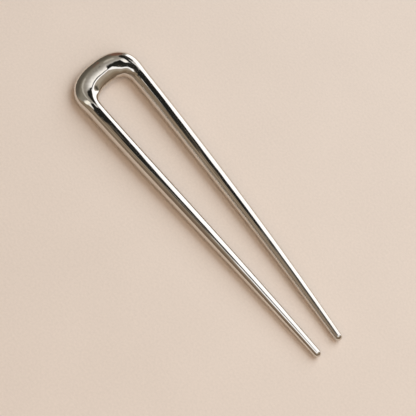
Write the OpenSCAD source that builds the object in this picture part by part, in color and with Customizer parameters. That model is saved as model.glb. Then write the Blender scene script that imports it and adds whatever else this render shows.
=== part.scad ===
// A two-pronged hair pin cast in one piece: a broad flattened crown that narrows into two long tapering prongs.
// It lies flat: X runs from the crown to the tips, Y across the prongs, and the underside rests on Z = 0.

/* [Overall] */
// Length from the crown's outer edge to the tips
pin_length = 110; // [90:1:140]
// Distance between the middles of the prongs where they leave the crown
prong_spacing = 18.2; // [15:0.1:22]
// Distance between the middles of the prongs at the tips
tip_spacing = 8.4; // [7:0.1:14]
// How far the pair of prongs bows to one side between the crown and the tips
sideways_bow = 0.5; // [0:0.05:1]

/* [Crown] */
// How far the crown's curve reaches along the pin, along the middle of its band
crown_reach = 8.1; // [7:0.1:12]
// Fullness of the crown's curve: 2 is an ellipse and more is squarer
crown_fullness = 2.6; // [2:0.1:2.8]
// How far the crown leans along the pin for each millimetre across it
crown_lean = 0.085; // [0:0.005:0.1]
// Width of the crown's band, seen from above
crown_width = 8.1; // [6.5:0.1:8.6]
// Thickness of the crown
crown_thickness = 4; // [3.4:0.1:5.4]
// Squareness of the crown's band: 0 is an ellipse and more has flatter faces
band_squareness = 0.2; // [0:0.05:0.3]
// Distance along the pin over which the crown's band narrows into the prongs
swell_reach = 5.3; // [4:0.1:7]

/* [Prongs] */
// Diameter of a prong where it leaves the crown
prong_diameter = 5.15; // [4.5:0.05:5.8]
// Diameter of a prong at its tip
tip_diameter = 2.5; // [2:0.1:3.4]
// Length of the rounded end of a tip
tip_rounding = 1.2; // [0.6:0.1:1.6]

/* [Facets] */
// Sides of each ring
sides = 48; // [24:4:60]
// Rings in each half of the crown's curve
crown_steps = 14; // [8:1:18]
// Rings in each prong
prong_steps = 24; // [8:1:28]
// Rings in the rounded end of a tip
tip_steps = 6; // [3:1:8]

/* [Hidden] */

// Columns of a station: place along the pin, distance from its middle line, and share of the prong's length
ALONG = 0;
OUT = 1;
AHEAD = 2;

// Columns of a section: place along the pin and across it, width in plan, thickness and squareness
X = 0;
Y = 1;
WIDE = 2;
THICK = 3;
SQUARE = 4;

// The lean fades out at this distance along the pin
lean_reach = 13;
// The bow leaves the crown gently, so its greatest reach is past the middle of the pin
bow_lag = 1.5;
// How late the band's breadth, the prongs' spacing and the prongs' diameter change along their lengths
swell_lag = 2.8;
closing_lag = 1.23;
taper_lag = 1.35;
// The last ring of a tip stops short of a point, at this share of a quarter turn
tip_turn = 0.9;
silver = [0.76, 0.74, 0.71];

crown_middle = crown_width / 2;
prong_start = crown_middle + crown_reach;
prong_length = pin_length - tip_rounding - prong_start;
rest_centre = [pin_length / 2, 0, 0];

function mix(from, to, share) = from + (to - from) * share;
function past_crown(x) = (x - crown_middle) / (pin_length - crown_middle);
function bow(x) = sideways_bow * sin(180 * pow(past_crown(x), bow_lag));
function lean(x, y) = crown_lean * y * max(0, 1 - (x - crown_middle) / lean_reach);

function crown_station(turn) = [
    crown_middle + crown_reach * (1 - pow(cos(turn), 2 / crown_fullness)),
    prong_spacing / 2 * pow(sin(turn), 2 / crown_fullness),
    0,
];
function prong_station(ahead) = [
    prong_start + prong_length * ahead,
    mix(prong_spacing, tip_spacing, pow(ahead, closing_lag)) / 2,
    ahead,
];
stations = concat(
    [for (k = [0:crown_steps]) crown_station(90 * k / crown_steps)],
    [for (k = [1:prong_steps]) prong_station(k / prong_steps)]
);
last_station = len(stations) - 1;

// The section at a station, on the side that 1 or -1 gives
function section_at(station, side) = let (
    x = station[ALONG],
    y = side * station[OUT],
    diameter = mix(prong_diameter, tip_diameter, pow(station[AHEAD], taper_lag)),
    swell = exp(-pow((x - crown_middle) / swell_reach, swell_lag))
) [
    x - lean(x, y),
    y + bow(x),
    mix(diameter, crown_width, swell),
    mix(diameter, crown_thickness, swell),
    band_squareness * swell,
];
// All sections from one tip round the crown to the other, the crown's middle once
sections = concat(
    [for (i = [last_station:-1:1]) section_at(stations[i], -1)],
    [for (station = stations) section_at(station, 1)]
);
last_section = len(sections) - 1;

// The direction of the pin at section i, from both neighbours, where one past either end carries straight on
function plan(i) =
    i < 0 ? 2 * plan(0) - plan(1) :
    i > last_section ? 2 * plan(last_section) - plan(last_section - 1) :
    [sections[i][X], sections[i][Y]];
function heading(i) = let (
    before = norm(plan(i) - plan(i - 1)),
    after = norm(plan(i + 1) - plan(i)),
    way = (plan(i) - plan(i - 1)) / before * after + (plan(i + 1) - plan(i)) / after * before
) way / norm(way);

// A value from -1 to 1 pushed outwards, which turns a circle into a rounded square
function push(value, square) = sign(value) * pow(abs(value), 1 - square);

// A ring across the pin at section i, standing on Z = 0, with its size cut down by shrink about its middle
function ring(i, ahead = 0, shrink = 1) = let (
    section = sections[i],
    direction = heading(i),
    middle = plan(i) + direction * ahead,
    across = [direction.y, -direction.x]
) [
    for (k = [0:sides - 1]) let (
        angle = 360 * k / sides,
        point = middle + across * (section[WIDE] / 2 * shrink * push(cos(angle), section[SQUARE]))
    ) [point.x, point.y, section[THICK] / 2 * (1 + shrink * push(sin(angle), section[SQUARE]))],
];

// The rings of the rounded end at section i, with end -1 before the first section and 1 after the last
function tip_rings(i, end) = [
    for (k = [1:tip_steps]) let (turn = 90 * tip_turn * k / tip_steps)
        ring(i, end * tip_rounding * sin(turn), cos(turn)),
];

first_tip = tip_rings(0, -1);
rings = concat(
    [for (k = [tip_steps - 1:-1:0]) first_tip[k]],
    [for (i = [0:last_section]) ring(i)],
    tip_rings(last_section, 1)
);

module hair_pin() {
    points = [for (r = rings) each r];
    walls = [
        for (i = [0:len(rings) - 2]) for (k = [0:sides - 1]) let (
            next = (k + 1) % sides,
            here = i * sides,
            beyond = here + sides
        ) each [
            [here + k, here + next, beyond + next],
            [here + k, beyond + next, beyond + k],
        ],
    ];
    ends = [
        [for (k = [sides - 1:-1:0]) k],
        [for (k = [0:sides - 1]) (len(rings) - 1) * sides + k],
    ];
    color(silver)
        translate(-rest_centre)
        polyhedron(points, concat(walls, ends));
}

hair_pin();
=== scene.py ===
"""A two-pronged hair pin of polished silver-tone metal, lying on a pale surface in soft studio light."""

from math import atan2, cos, hypot, pi, radians, sin

import bpy
import numpy as np
from mathutils import Matrix, Vector


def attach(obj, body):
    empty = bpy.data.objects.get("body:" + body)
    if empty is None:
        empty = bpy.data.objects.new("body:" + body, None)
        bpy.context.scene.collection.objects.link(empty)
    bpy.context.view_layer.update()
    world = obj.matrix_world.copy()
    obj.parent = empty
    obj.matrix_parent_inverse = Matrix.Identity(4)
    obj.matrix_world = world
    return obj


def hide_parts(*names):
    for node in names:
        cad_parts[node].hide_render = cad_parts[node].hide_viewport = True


MM = 0.001

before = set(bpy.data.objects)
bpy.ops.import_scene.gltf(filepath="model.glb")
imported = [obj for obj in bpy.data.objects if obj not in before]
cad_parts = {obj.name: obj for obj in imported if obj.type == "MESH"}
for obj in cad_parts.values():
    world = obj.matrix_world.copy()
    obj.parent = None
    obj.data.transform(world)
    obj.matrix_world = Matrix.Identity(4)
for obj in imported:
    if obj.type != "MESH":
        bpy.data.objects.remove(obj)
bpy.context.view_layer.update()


# Sizes of the pin in millimetres, the same as the solid's
PIN_LENGTH = 110.0
PRONG_SPACING = 18.2
TIP_SPACING = 8.4
SIDEWAYS_BOW = 0.5
CROWN_REACH = 8.1
CROWN_WIDTH = 8.1
CROWN_THICKNESS = 4.0
SWELL_REACH = 5.3
LEAN_REACH = 13.0
PRONG_DIAMETER = 5.15
TIP_DIAMETER = 2.5
TIP_ROUNDING = 1.2
CROWN_MIDDLE = CROWN_WIDTH / 2
PRONG_START = CROWN_MIDDLE + CROWN_REACH

# Shape values that have no unit, also the same as the solid's
CROWN_FULLNESS = 2.6
CROWN_LEAN = 0.085
BAND_SQUARENESS = 0.2
BOW_LAG = 1.5
SWELL_LAG = 2.8
CLOSING_LAG = 1.23
TAPER_LAG = 1.35

# The crown's soft ridge, which only the visible skin has: its height in millimetres at the band's middle
RIDGE_HEIGHT = 0.45
# Its place across the band and its softness, where -1 is the outer edge and 1 the inner edge
RIDGE_PLACE = 0.34
RIDGE_SOFTNESS = 0.04
# Its drift outwards, by the square of the millimetres past DRIFT_START across the pin
RIDGE_DRIFT = -0.006
DRIFT_START = -1.0

# Between these places across the pin, in millimetres, the crown thickens to the prong and loses its ridge
RISE_START = 1.0
RISE_END = 8.5

# The slight waves of casting and hand polishing: their height and range of lengths in millimetres
LONG_WAVES = 0.004
LONG_WAVE_LENGTHS = (4.0, 9.0)
SHORT_WAVES = 0.0022
SHORT_WAVE_LENGTHS = (0.9, 2.0)
# The short ones fade out at this distance along the pin in millimetres, more suddenly for a higher power
SHORT_WAVE_REACH = PRONG_START + SWELL_REACH
SHORT_WAVE_POWER = 4
WAVE_COUNT = 32

# Fineness of the mesh, with the steps between rings in millimetres
RING_SIDES = 128
CROWN_STEP = 0.2
PRONG_STEP = 0.5
TIP_RINGS = 16
CURVE_SAMPLES = 4000


def mix(start, end, share):
    return start + (end - start) * share


def ease(share):
    """The share kept between 0 and 1, with a gentle start and end."""
    share = np.clip(share, 0, 1)
    return share**2 * (3 - 2 * share)


def middle_line():
    """Rows of place along the pin, distance from its middle and share of the prong, from crown to tip."""
    turn = np.linspace(0, pi / 2, CURVE_SAMPLES)
    power = 2 / CROWN_FULLNESS
    crown_x = CROWN_MIDDLE + CROWN_REACH * (1 - np.maximum(np.cos(turn), 0) ** power)
    crown_y = PRONG_SPACING / 2 * np.sin(turn) ** power
    ahead = np.linspace(0, 1, CURVE_SAMPLES)[1:]
    prong_x = mix(PRONG_START, PIN_LENGTH - TIP_ROUNDING, ahead)
    prong_y = mix(PRONG_SPACING, TIP_SPACING, ahead**CLOSING_LAG) / 2
    crown = np.column_stack([crown_x, crown_y, np.zeros(CURVE_SAMPLES)])
    curve = np.vstack([crown, np.column_stack([prong_x, prong_y, ahead])])
    lengths = np.concatenate([[0], np.cumsum(np.hypot(*np.diff(curve[:, :2], axis=0).T))])
    bend_end = lengths[CURVE_SAMPLES - 1]
    crown_count = round(bend_end / CROWN_STEP)
    prong_count = round((lengths[-1] - bend_end) / PRONG_STEP)
    crown_places = np.linspace(0, bend_end, crown_count + 1)
    prong_places = np.linspace(bend_end, lengths[-1], prong_count + 1)[1:]
    places = np.concatenate([crown_places, prong_places])
    return np.column_stack([np.interp(places, lengths, column) for column in curve.T])


def one_side(stations, side):
    """Rows of x, y, width, thickness, squareness, ridge height and place, on the side of 1 or -1."""
    along, out, ahead = stations.T
    y = side * out
    share = (along - CROWN_MIDDLE) / (PIN_LENGTH - CROWN_MIDDLE)
    lean = CROWN_LEAN * y * np.maximum(0, 1 - (along - CROWN_MIDDLE) / LEAN_REACH)
    diameter = mix(PRONG_DIAMETER, TIP_DIAMETER, ahead**TAPER_LAG)
    swell = np.exp(-(((along - CROWN_MIDDLE) / SWELL_REACH) ** SWELL_LAG))
    flat = swell * (1 - ease((y - RISE_START) / (RISE_END - RISE_START)))
    return np.column_stack(
        [
            along - lean - PIN_LENGTH / 2,
            y + SIDEWAYS_BOW * np.sin(pi * share**BOW_LAG),
            mix(diameter, CROWN_WIDTH, swell),
            mix(diameter, CROWN_THICKNESS, flat),
            BAND_SQUARENESS * swell,
            RIDGE_HEIGHT * flat,
            RIDGE_PLACE + RIDGE_DRIFT * np.maximum(0, y - DRIFT_START) ** 2,
        ]
    )


def headings(plan):
    """The direction of the middle line at each of its points, from both neighbours."""
    steps = np.diff(plan, axis=0)
    gaps = np.linalg.norm(steps, axis=1)[:, None]
    rates = steps / gaps
    inner = rates[:-1] * gaps[1:] + rates[1:] * gaps[:-1]
    ways = np.vstack([rates[:1], inner, rates[-1:]])
    return ways / np.linalg.norm(ways, axis=1)[:, None]


def push(values, square):
    """Values from -1 to 1 pushed outwards, which turns a circle into a rounded square."""
    return np.sign(values) * np.abs(values) ** (1 - square)


def roof(side, top):
    """A soft ridge along the band, highest at top, that falls away to nothing at both edges."""
    outer, here, inner = (np.hypot(place - top, RIDGE_SOFTNESS) for place in (-1, side, 1))
    return mix(outer, inner, (side + 1) / 2) - here


def ring(section, direction, ahead=0.0, shrink=1.0):
    """A rounded ring across the pin that stands on the surface, with its size cut down about its middle."""
    angle = np.linspace(0, 2 * pi, RING_SIDES, endpoint=False)
    x, y, width, thickness, square, ridge, top = section
    across = np.array([direction[1], -direction[0]])
    middle = np.array([x, y]) + direction * ahead
    side = push(np.cos(angle), square)
    plan = middle + across * (width / 2 * shrink * side)[:, None]
    height = thickness / 2 * (1 + shrink * push(np.sin(angle), square))
    return np.column_stack([plan, height + ridge * roof(side, top) * (np.sin(angle) > 0)])


def waves(points, lengths, seed):
    """A mix of waves in all directions whose lengths lie between the two given, about 1 high."""
    random = np.random.default_rng(seed)
    ways = random.normal(size=(WAVE_COUNT, 3))
    ways /= np.linalg.norm(ways, axis=1)[:, None]
    turns = 2 * pi / random.uniform(*lengths, WAVE_COUNT)
    phases = random.uniform(0, 2 * pi, WAVE_COUNT)
    return np.sin(points @ (ways * turns[:, None]).T + phases).sum(axis=-1) / np.sqrt(WAVE_COUNT / 2)


def polished(rings):
    """The rings with the slight waves of casting and hand polishing, still standing on the surface."""
    outwards = rings - rings.mean(axis=1)[:, None]
    outwards /= np.linalg.norm(outwards, axis=2)[:, :, None]
    on_crown = np.exp(-(((rings[..., 0] + PIN_LENGTH / 2) / SHORT_WAVE_REACH) ** SHORT_WAVE_POWER))
    short = SHORT_WAVES * on_crown * waves(rings, SHORT_WAVE_LENGTHS, seed=1)
    long = LONG_WAVES * waves(rings, LONG_WAVE_LENGTHS, seed=2)
    raised = rings + outwards * (short + long)[..., None]
    raised[..., 2] = np.maximum(raised[..., 2], 0)
    return raised


def pin_rings():
    """Rings from the tip on the near side round the crown to the other tip."""
    stations = middle_line()
    sections = np.vstack([one_side(stations, -1)[:0:-1], one_side(stations, 1)])
    ways = headings(sections[:, :2])
    shaft = [ring(s, d) for s, d in zip(sections, ways)]
    turns = [pi / 2 * k / TIP_RINGS for k in range(1, TIP_RINGS)]
    first = [ring(sections[0], ways[0], -TIP_ROUNDING * sin(t), cos(t)) for t in turns]
    last = [ring(sections[-1], ways[-1], TIP_ROUNDING * sin(t), cos(t)) for t in turns]
    return polished(np.array(first[::-1] + shaft + last))


def tube_mesh(name, rings):
    """A closed skin over the rings, with a fan of faces at each end."""
    count, sides = rings.shape[:2]
    points = np.vstack([rings.reshape(-1, 3), rings[0].mean(axis=0), rings[-1].mean(axis=0)])
    faces = []
    for i in range(count - 1):
        for k in range(sides):
            following = (k + 1) % sides
            here = i * sides
            faces.append((here + k, here + following, here + sides + following, here + sides + k))
    first_pole = count * sides
    last_row = (count - 1) * sides
    for k in range(sides):
        following = (k + 1) % sides
        faces.append((first_pole, following, k))
        faces.append((first_pole + 1, last_row + k, last_row + following))
    mesh = bpy.data.meshes.new(name)
    mesh.from_pydata((points * MM).tolist(), [], faces)
    mesh.shade_smooth()
    mesh.update()
    return mesh


def place_object(name, data):
    obj = bpy.data.objects.new(name, data)
    bpy.context.scene.collection.objects.link(obj)
    return obj


# The colour sockets of a Mix node: its two inputs and its output
UNDER = 6
OVER = 7
MIXED = 2


class Nodes:
    """Adds nodes to a node tree and feeds them to its shader."""

    def __init__(self, tree, shader):
        self.tree = tree
        self.shader = tree.nodes[shader]

    def add(self, kind, inputs, output=0, **settings):
        """Makes a node, sets or links its inputs, and gives the output asked for."""
        node = self.tree.nodes.new(kind)
        for setting, value in settings.items():
            setattr(node, setting, value)
        for socket, value in inputs.items():
            if isinstance(value, bpy.types.NodeSocket):
                self.tree.links.new(value, node.inputs[socket])
            else:
                node.inputs[socket].default_value = value
        return node.outputs[output]

    def ramp(self, value, start, end, low=0.0, high=1.0, kind="LINEAR"):
        """Turns the range from start to end into the one from low to high."""
        inputs = {"Value": value, "From Min": start, "From Max": end, "To Min": low, "To Max": high}
        return self.add("ShaderNodeMapRange", inputs, "Result", interpolation_type=kind)

    def blend(self, share, under, over):
        """The first colour where the share is 0, the second where it is 1."""
        inputs = {"Factor": share, UNDER: under, OVER: over}
        return self.add("ShaderNodeMix", inputs, MIXED, data_type="RGBA")

    def feed(self, socket, value):
        self.tree.links.new(value, self.shader.inputs[socket])


# The range in which nearly all values of a noise node lie
NOISE_LOW = 0.3
NOISE_HIGH = 0.7


class MaterialNodes(Nodes):
    """The nodes of a new material, with patterns placed in metres."""

    def __init__(self, name):
        self.material = bpy.data.materials.new(name)
        self.material.use_nodes = True
        super().__init__(self.material.node_tree, "Principled BSDF")
        self.place = self.add("ShaderNodeTexCoord", {}, "Object")

    def noise(self, size, detail, stretch=1):
        """Noise whose grains are about so many metres across and stretch times as long along the pin."""
        scale = (1 / (size * stretch), 1 / size, 1 / size)
        scaled = self.add("ShaderNodeVectorMath", {0: self.place, 1: scale}, operation="MULTIPLY")
        return self.add("ShaderNodeTexNoise", {"Vector": scaled, "Scale": 1.0, "Detail": detail}, "Fac")

    def spread(self, noise, low, high):
        """Turns the usual range of noise into the one from low to high."""
        return self.ramp(noise, NOISE_LOW, NOISE_HIGH, low, high)

    def total(self, first, second):
        return self.add("ShaderNodeMath", {0: first, 1: second}, operation="ADD")

    def tones(self, value, darkest, palest):
        return self.blend(value, (*darkest, 1), (*palest, 1))

    def raised(self, value, height):
        """Fine relief of about the given height in metres."""
        inputs = {"Strength": 1.0, "Distance": height, "Height": value}
        return self.add("ShaderNodeBump", inputs, "Normal")


# The plating's tones, the sizes of its patterns, and the roughness and relief that they add
METAL_DARKEST = (0.67, 0.625, 0.565)
METAL_PALEST = (0.72, 0.68, 0.62)
CLOUD_SIZE = 4 * MM
SMEAR_SIZE = 1.5 * MM
SMEAR_ROUGHNESS = 0.05
HAIRLINE_WIDTH = 0.05 * MM
HAIRLINE_STRETCH = 40
HAIRLINE_ROUGHNESS = (0.015, 0.035)
GRAIN_SIZE = 0.3 * MM
METAL_RELIEF = 0.00012 * MM
# How deep the hairlines are for the grain's 1
HAIRLINE_DEPTH = 0.3


def metal_material():
    """Bright plating with faint clouding, handling marks and hairlines from polishing along the pin."""
    nodes = MaterialNodes("polished_silver_metal")
    clouds = nodes.noise(CLOUD_SIZE, detail=3.0)
    smears = nodes.noise(SMEAR_SIZE, detail=5.0)
    hairlines = nodes.noise(HAIRLINE_WIDTH, detail=2.0, stretch=HAIRLINE_STRETCH)
    grain = nodes.noise(GRAIN_SIZE, detail=3.0)
    polish = nodes.spread(hairlines, *HAIRLINE_ROUGHNESS)
    marks = nodes.total(nodes.spread(smears, 0, SMEAR_ROUGHNESS), polish)
    relief = nodes.total(nodes.spread(hairlines, 0, HAIRLINE_DEPTH), nodes.spread(grain, 0, 1))
    nodes.feed("Base Color", nodes.tones(nodes.spread(clouds, 0, 1), METAL_DARKEST, METAL_PALEST))
    nodes.feed("Roughness", marks)
    nodes.feed("Normal", nodes.raised(relief, METAL_RELIEF))
    nodes.shader.inputs["Metallic"].default_value = 1.0
    return nodes.material


# The card's tones, roughness and relief, the sizes of its patterns and their shares of its speckle
SURFACE_DARKEST = (0.726, 0.608, 0.519)
SURFACE_PALEST = (0.794, 0.667, 0.573)
SURFACE_ROUGHNESS = (0.85, 0.95)
SURFACE_SHINE = 0.1
SURFACE_RELIEF = 0.02 * MM
TOOTH_SIZE = 0.7 * MM
TOOTH_SHARE = 0.7
PATCH_SIZE = 30 * MM
PATCH_SHARE = 0.3


def surface_material():
    """Matt pale card with a very fine tooth."""
    nodes = MaterialNodes("pale_surface")
    tooth = nodes.noise(TOOTH_SIZE, detail=4.0)
    patches = nodes.noise(PATCH_SIZE, detail=2.0)
    speckle = nodes.total(nodes.spread(tooth, 0, TOOTH_SHARE), nodes.spread(patches, 0, PATCH_SHARE))
    nodes.feed("Base Color", nodes.tones(speckle, SURFACE_DARKEST, SURFACE_PALEST))
    nodes.feed("Roughness", nodes.spread(tooth, *SURFACE_ROUGHNESS))
    nodes.feed("Normal", nodes.raised(tooth, SURFACE_RELIEF))
    nodes.shader.inputs["Specular IOR Level"].default_value = SURFACE_SHINE
    return nodes.material


def add_pin():
    pin = place_object("hair_pin_polished", tube_mesh("hair_pin_polished", pin_rings()))
    pin.data.materials.append(metal_material())
    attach(pin, "root")
    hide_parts("hair_pin")


# Half the floor's side in metres
FLOOR_REACH = 4.0


def add_floor():
    corners = [(x * FLOOR_REACH, y * FLOOR_REACH, 0) for x, y in ((-1, -1), (1, -1), (1, 1), (-1, 1))]
    mesh = bpy.data.meshes.new("floor")
    mesh.from_pydata(corners, [], [(0, 1, 2, 3)])
    mesh.materials.append(surface_material())
    floor = place_object("floor", mesh)


add_pin()
add_floor()


# How far the camera stands off vertical, towards which side, and how far the picture is turned, in degrees
CAMERA_TILT = 26.5
CAMERA_TURN = 24.0
PICTURE_ANGLE = 49.9
# The point in the middle of the pin that the camera is turned to and the distance to it, in metres
TARGET = Vector((0, 0, 2 * MM))
CAMERA_DISTANCE = 0.5
CLIP_START = 0.01
# The photo's width and the place where it shows that point, in pixels, and its scale there
PHOTO_SIZE = 416
PIN_PLACE = (208.34, 202.14)
PIXELS_PER_MM = 3.431
# The width of the camera's sensor in millimetres
SENSOR_WIDTH = 36


def add_camera():
    tilt = radians(CAMERA_TILT)
    turn = radians(CAMERA_TURN)
    roll = radians(PICTURE_ANGLE)
    back = Vector((sin(tilt) * sin(turn), -sin(tilt) * cos(turn), cos(tilt)))
    along = (Vector((1, 0, 0)) - back * back.x).normalized()
    across = back.cross(along)
    right = along * cos(roll) + across * sin(roll)
    up = back.cross(right)
    middle = (PHOTO_SIZE - 1) / 2
    data = bpy.data.cameras.new("camera")
    data.sensor_width = SENSOR_WIDTH
    data.lens = SENSOR_WIDTH * CAMERA_DISTANCE / (PHOTO_SIZE / PIXELS_PER_MM * MM)
    data.shift_x = (middle - PIN_PLACE[0]) / PHOTO_SIZE
    data.shift_y = (PIN_PLACE[1] - middle) / PHOTO_SIZE
    data.clip_start = CLIP_START
    camera = place_object("camera", data)
    axes = Matrix((right, up, back)).transposed().to_4x4()
    camera.matrix_world = Matrix.Translation(TARGET + back * CAMERA_DISTANCE) @ axes
    bpy.context.scene.camera = camera


add_camera()


# The walls of the room that the metal mirrors, which change only along X
SURROUND = [
    # place along X from -1 to 1, brightness
    (-1.0, (0.13, 0.115, 0.09)),
    (-0.8, (0.135, 0.12, 0.10)),
    (-0.72, (0.206, 0.19, 0.155)),
    (-0.66, (0.283, 0.26, 0.216)),
    (-0.6, (0.314, 0.29, 0.255)),
    (-0.5, (0.39, 0.37, 0.34)),
    (-0.457, (0.49, 0.47, 0.44)),
    (-0.427, (0.65, 0.64, 0.62)),
    (-0.37, (1.25, 1.25, 1.25)),
    (-0.26, (1.5, 1.5, 1.5)),
    (-0.18, (0.6, 0.55, 0.47)),
    (0.1, (0.57, 0.51, 0.44)),
    (0.39, (0.47, 0.41, 0.34)),
    (0.49, (0.36, 0.3, 0.23)),
    (0.67, (0.31, 0.235, 0.17)),
    (0.8, (0.227, 0.17, 0.12)),
]

# What stands or hangs in front of the walls, each over the ones before it
FIELDS = [
    # name, brightness, degrees that its edges fade over,
    # corners of a shape without dents, in degrees away from straight up towards +X and +Y
    ("near_side", (0.3, 0.235, 0.172), 6,
        [(-90, -90), (-45, -50), (-25, -30), (22, -30), (60, -50), (90, -90), (0, -140)]),
    ("near_dark", (0.22, 0.16, 0.115), 5,
        [(-10, -52), (60, -52), (60, -84), (-10, -84)]),
    ("pale_stripe", (0.46, 0.385, 0.3), 2,
        [(-16, -51), (-6.8, -49), (-6.8, -57), (-16, -61)]),
    ("window", (1.6, 1.62, 1.7), 3,
        [(-58, 78), (-42, 52), (-36, 38), (2, 28), (2, 84)]),
    ("window_side", (1.6, 1.62, 1.7), 3,
        [(-2, 58), (16, 66), (40, 80), (0, 86)]),
    ("window_foot", (1.55, 1.57, 1.65), 2,
        [(-14, 34), (-12, 20), (-8, 13), (-3, 8), (2, 4), (3, 30), (0, 36)]),
    ("ceiling_light", (1.35, 1.38, 1.45), 2.5,
        [(-7, -1), (-2.5, -26), (-1, -32), (5, -33), (12, -8), (12, 8), (9, 18), (3, 21), (-5, 18)]),
    ("white_strip", (1.3, 1.28, 1.2), 3,
        [(-34, 0), (-28, 0), (-25, -10), (-24, -40), (-30, -44), (-34, -20)]),
    ("tan_gap", (0.32, 0.26, 0.195), 1,
        [(-12.5, -33), (-9, -33), (-9, -2), (-12, -2)]),
    ("black_flag", (0.02, 0.02, 0.018), 1,
        [(-27, -24), (-15, -29), (-12.3, -34), (-10.9, -18), (-10.2, 17), (-24, 17)]),
    ("flag_wedge", (0.03, 0.03, 0.027), 0.7,
        [(-15, -24), (-14, -43), (-12.6, -43), (-11.5, -24)]),
    ("flag_middle", (0.02, 0.02, 0.018), 0.7,
        [(-10.4, -27), (-7.2, -27), (-6.3, -2), (-6.4, 17), (-10.3, 17)]),
    ("flag_top", (0.02, 0.02, 0.018), 1,
        [(-16.5, 5), (-9, 5), (-8.4, 20), (-11.5, 31), (-13, 38), (-16.5, 40)]),
    ("flag_side", (0.03, 0.03, 0.027), 1.3,
        [(-12, 2), (-6, -6), (-2, -10), (0.8, -8), (1.6, 3), (-2.6, 9.2), (-9, 17), (-12, 20)]),
    ("flag_foot", (0.13, 0.11, 0.09), 0.8,
        [(-7.2, -30), (-4, -30), (-2.5, -4), (-6.2, -2)]),
    ("dark_corner", (0.05, 0.048, 0.042), 3,
        [(-40, 44), (-38, 31), (-24, 28), (-17, 36), (-22, 48)]),
    ("brown_patch", (0.22, 0.12, 0.09), 3,
        [(-95, 48), (-54, 23), (-43, 26), (-43, 42), (-70, 80)]),
    ("flag_reach", (0.02, 0.02, 0.018), 1.5,
        [(-13, 24.5), (-15, 29), (-25, 33.5), (-42, 39), (-40, 28), (-34, 23), (-27, 24)]),
    ("small_light", (0.6, 0.58, 0.53), 3,
        [(-42, 9), (-40, 16), (-33, 15), (-31, 10), (-36, 7)]),
    ("dim_side", (0.10, 0.09, 0.07), 4,
        [(8, 40), (20, 42), (34, 66), (24, 68), (6, 52)]),
]


def from_top(east, north):
    """The direction that lies so many degrees away from straight up."""
    away = radians(hypot(east, north))
    bearing = atan2(north, east)
    return Vector((sin(away) * cos(bearing), sin(away) * sin(bearing), cos(away)))


class RoomNodes(Nodes):
    """The nodes of a world whose brightness depends on the direction alone."""

    def __init__(self, world):
        super().__init__(world.node_tree, "Background")
        self.way = self.add("ShaderNodeTexCoord", {}, "Generated")

    def towards(self, direction):
        """How far the way looked along goes in this direction, from -1 to 1."""
        inputs = {0: self.way, 1: direction}
        return self.add("ShaderNodeVectorMath", inputs, "Value", operation="DOT_PRODUCT")

    def product(self, first, second):
        return self.add("ShaderNodeMath", {0: first, 1: second}, operation="MULTIPLY")

    def walls(self, stops):
        share = self.ramp(self.towards((1, 0, 0)), -1, 1)
        colour = self.add("ShaderNodeValToRGB", {"Fac": share}, "Color")
        elements = colour.node.color_ramp.elements
        while len(elements) < len(stops):
            elements.new(1)
        for element, (place, tone) in zip(elements, stops):
            element.position = (place + 1) / 2
            element.color = (*tone, 1)
        return colour

    def inside(self, corners, fade):
        """1 within the corners and 0 outside them, fading over so many degrees each way at the edge."""
        points = [from_top(east, north) for east, north in corners]
        centre = sum(points, Vector()).normalized()
        edge = sin(radians(fade))
        inside = None
        for first, second in zip(points, points[1:] + points[:1]):
            normal = first.cross(second).normalized()
            if normal.dot(centre) < 0:
                normal = -normal
            share = self.ramp(self.towards(normal), -edge, edge, kind="SMOOTHSTEP")
            inside = share if inside is None else self.product(inside, share)
        return inside


def add_room():
    """The metal mirrors the room, and the lamps alone light the surface."""
    world = bpy.data.worlds.new("room")
    bpy.context.scene.world = world
    world.cycles.sampling_method = "NONE"
    world.cycles_visibility.diffuse = False
    world.use_nodes = True
    nodes = RoomNodes(world)
    colour = nodes.walls(SURROUND)
    for name, tone, fade, corners in FIELDS:
        colour = nodes.blend(nodes.inside(corners, fade), colour, (*tone, 1))
        colour.node.label = name
    nodes.feed("Color", colour)


add_room()


# The side of each square lamp in metres
LAMP_SIZE = 1.1
LAMPS = [
    # name, place in metres, brightness, colour
    ("key_lamp", (0.0, 0.707, 0.707), 2.77, (0.895, 1.0, 1.083)),
    ("fill_lamp", (0.0, -0.5, 0.866), 1.1, (1.0, 0.78, 0.57)),
    ("side_lamp", (0.707, 0.0, 0.707), 1.2, (1.0, 1.0, 1.0)),
]


def add_lamp(name, place, brightness, colour):
    """A square lamp aimed at the pin that lights the surface and doesn't show in the metal."""
    data = bpy.data.lights.new(name, "AREA")
    data.shape = "SQUARE"
    data.size = LAMP_SIZE
    data.energy = brightness * pi * LAMP_SIZE**2
    data.color = colour
    lamp = place_object(name, data)
    lamp.location = place
    lamp.rotation_euler = Vector(place).to_track_quat("Z", "Y").to_euler()
    lamp.visible_glossy = False
    lamp.visible_camera = False


for lamp_row in LAMPS:
    add_lamp(*lamp_row)

bpy.context.scene.view_settings.view_transform = "Standard"
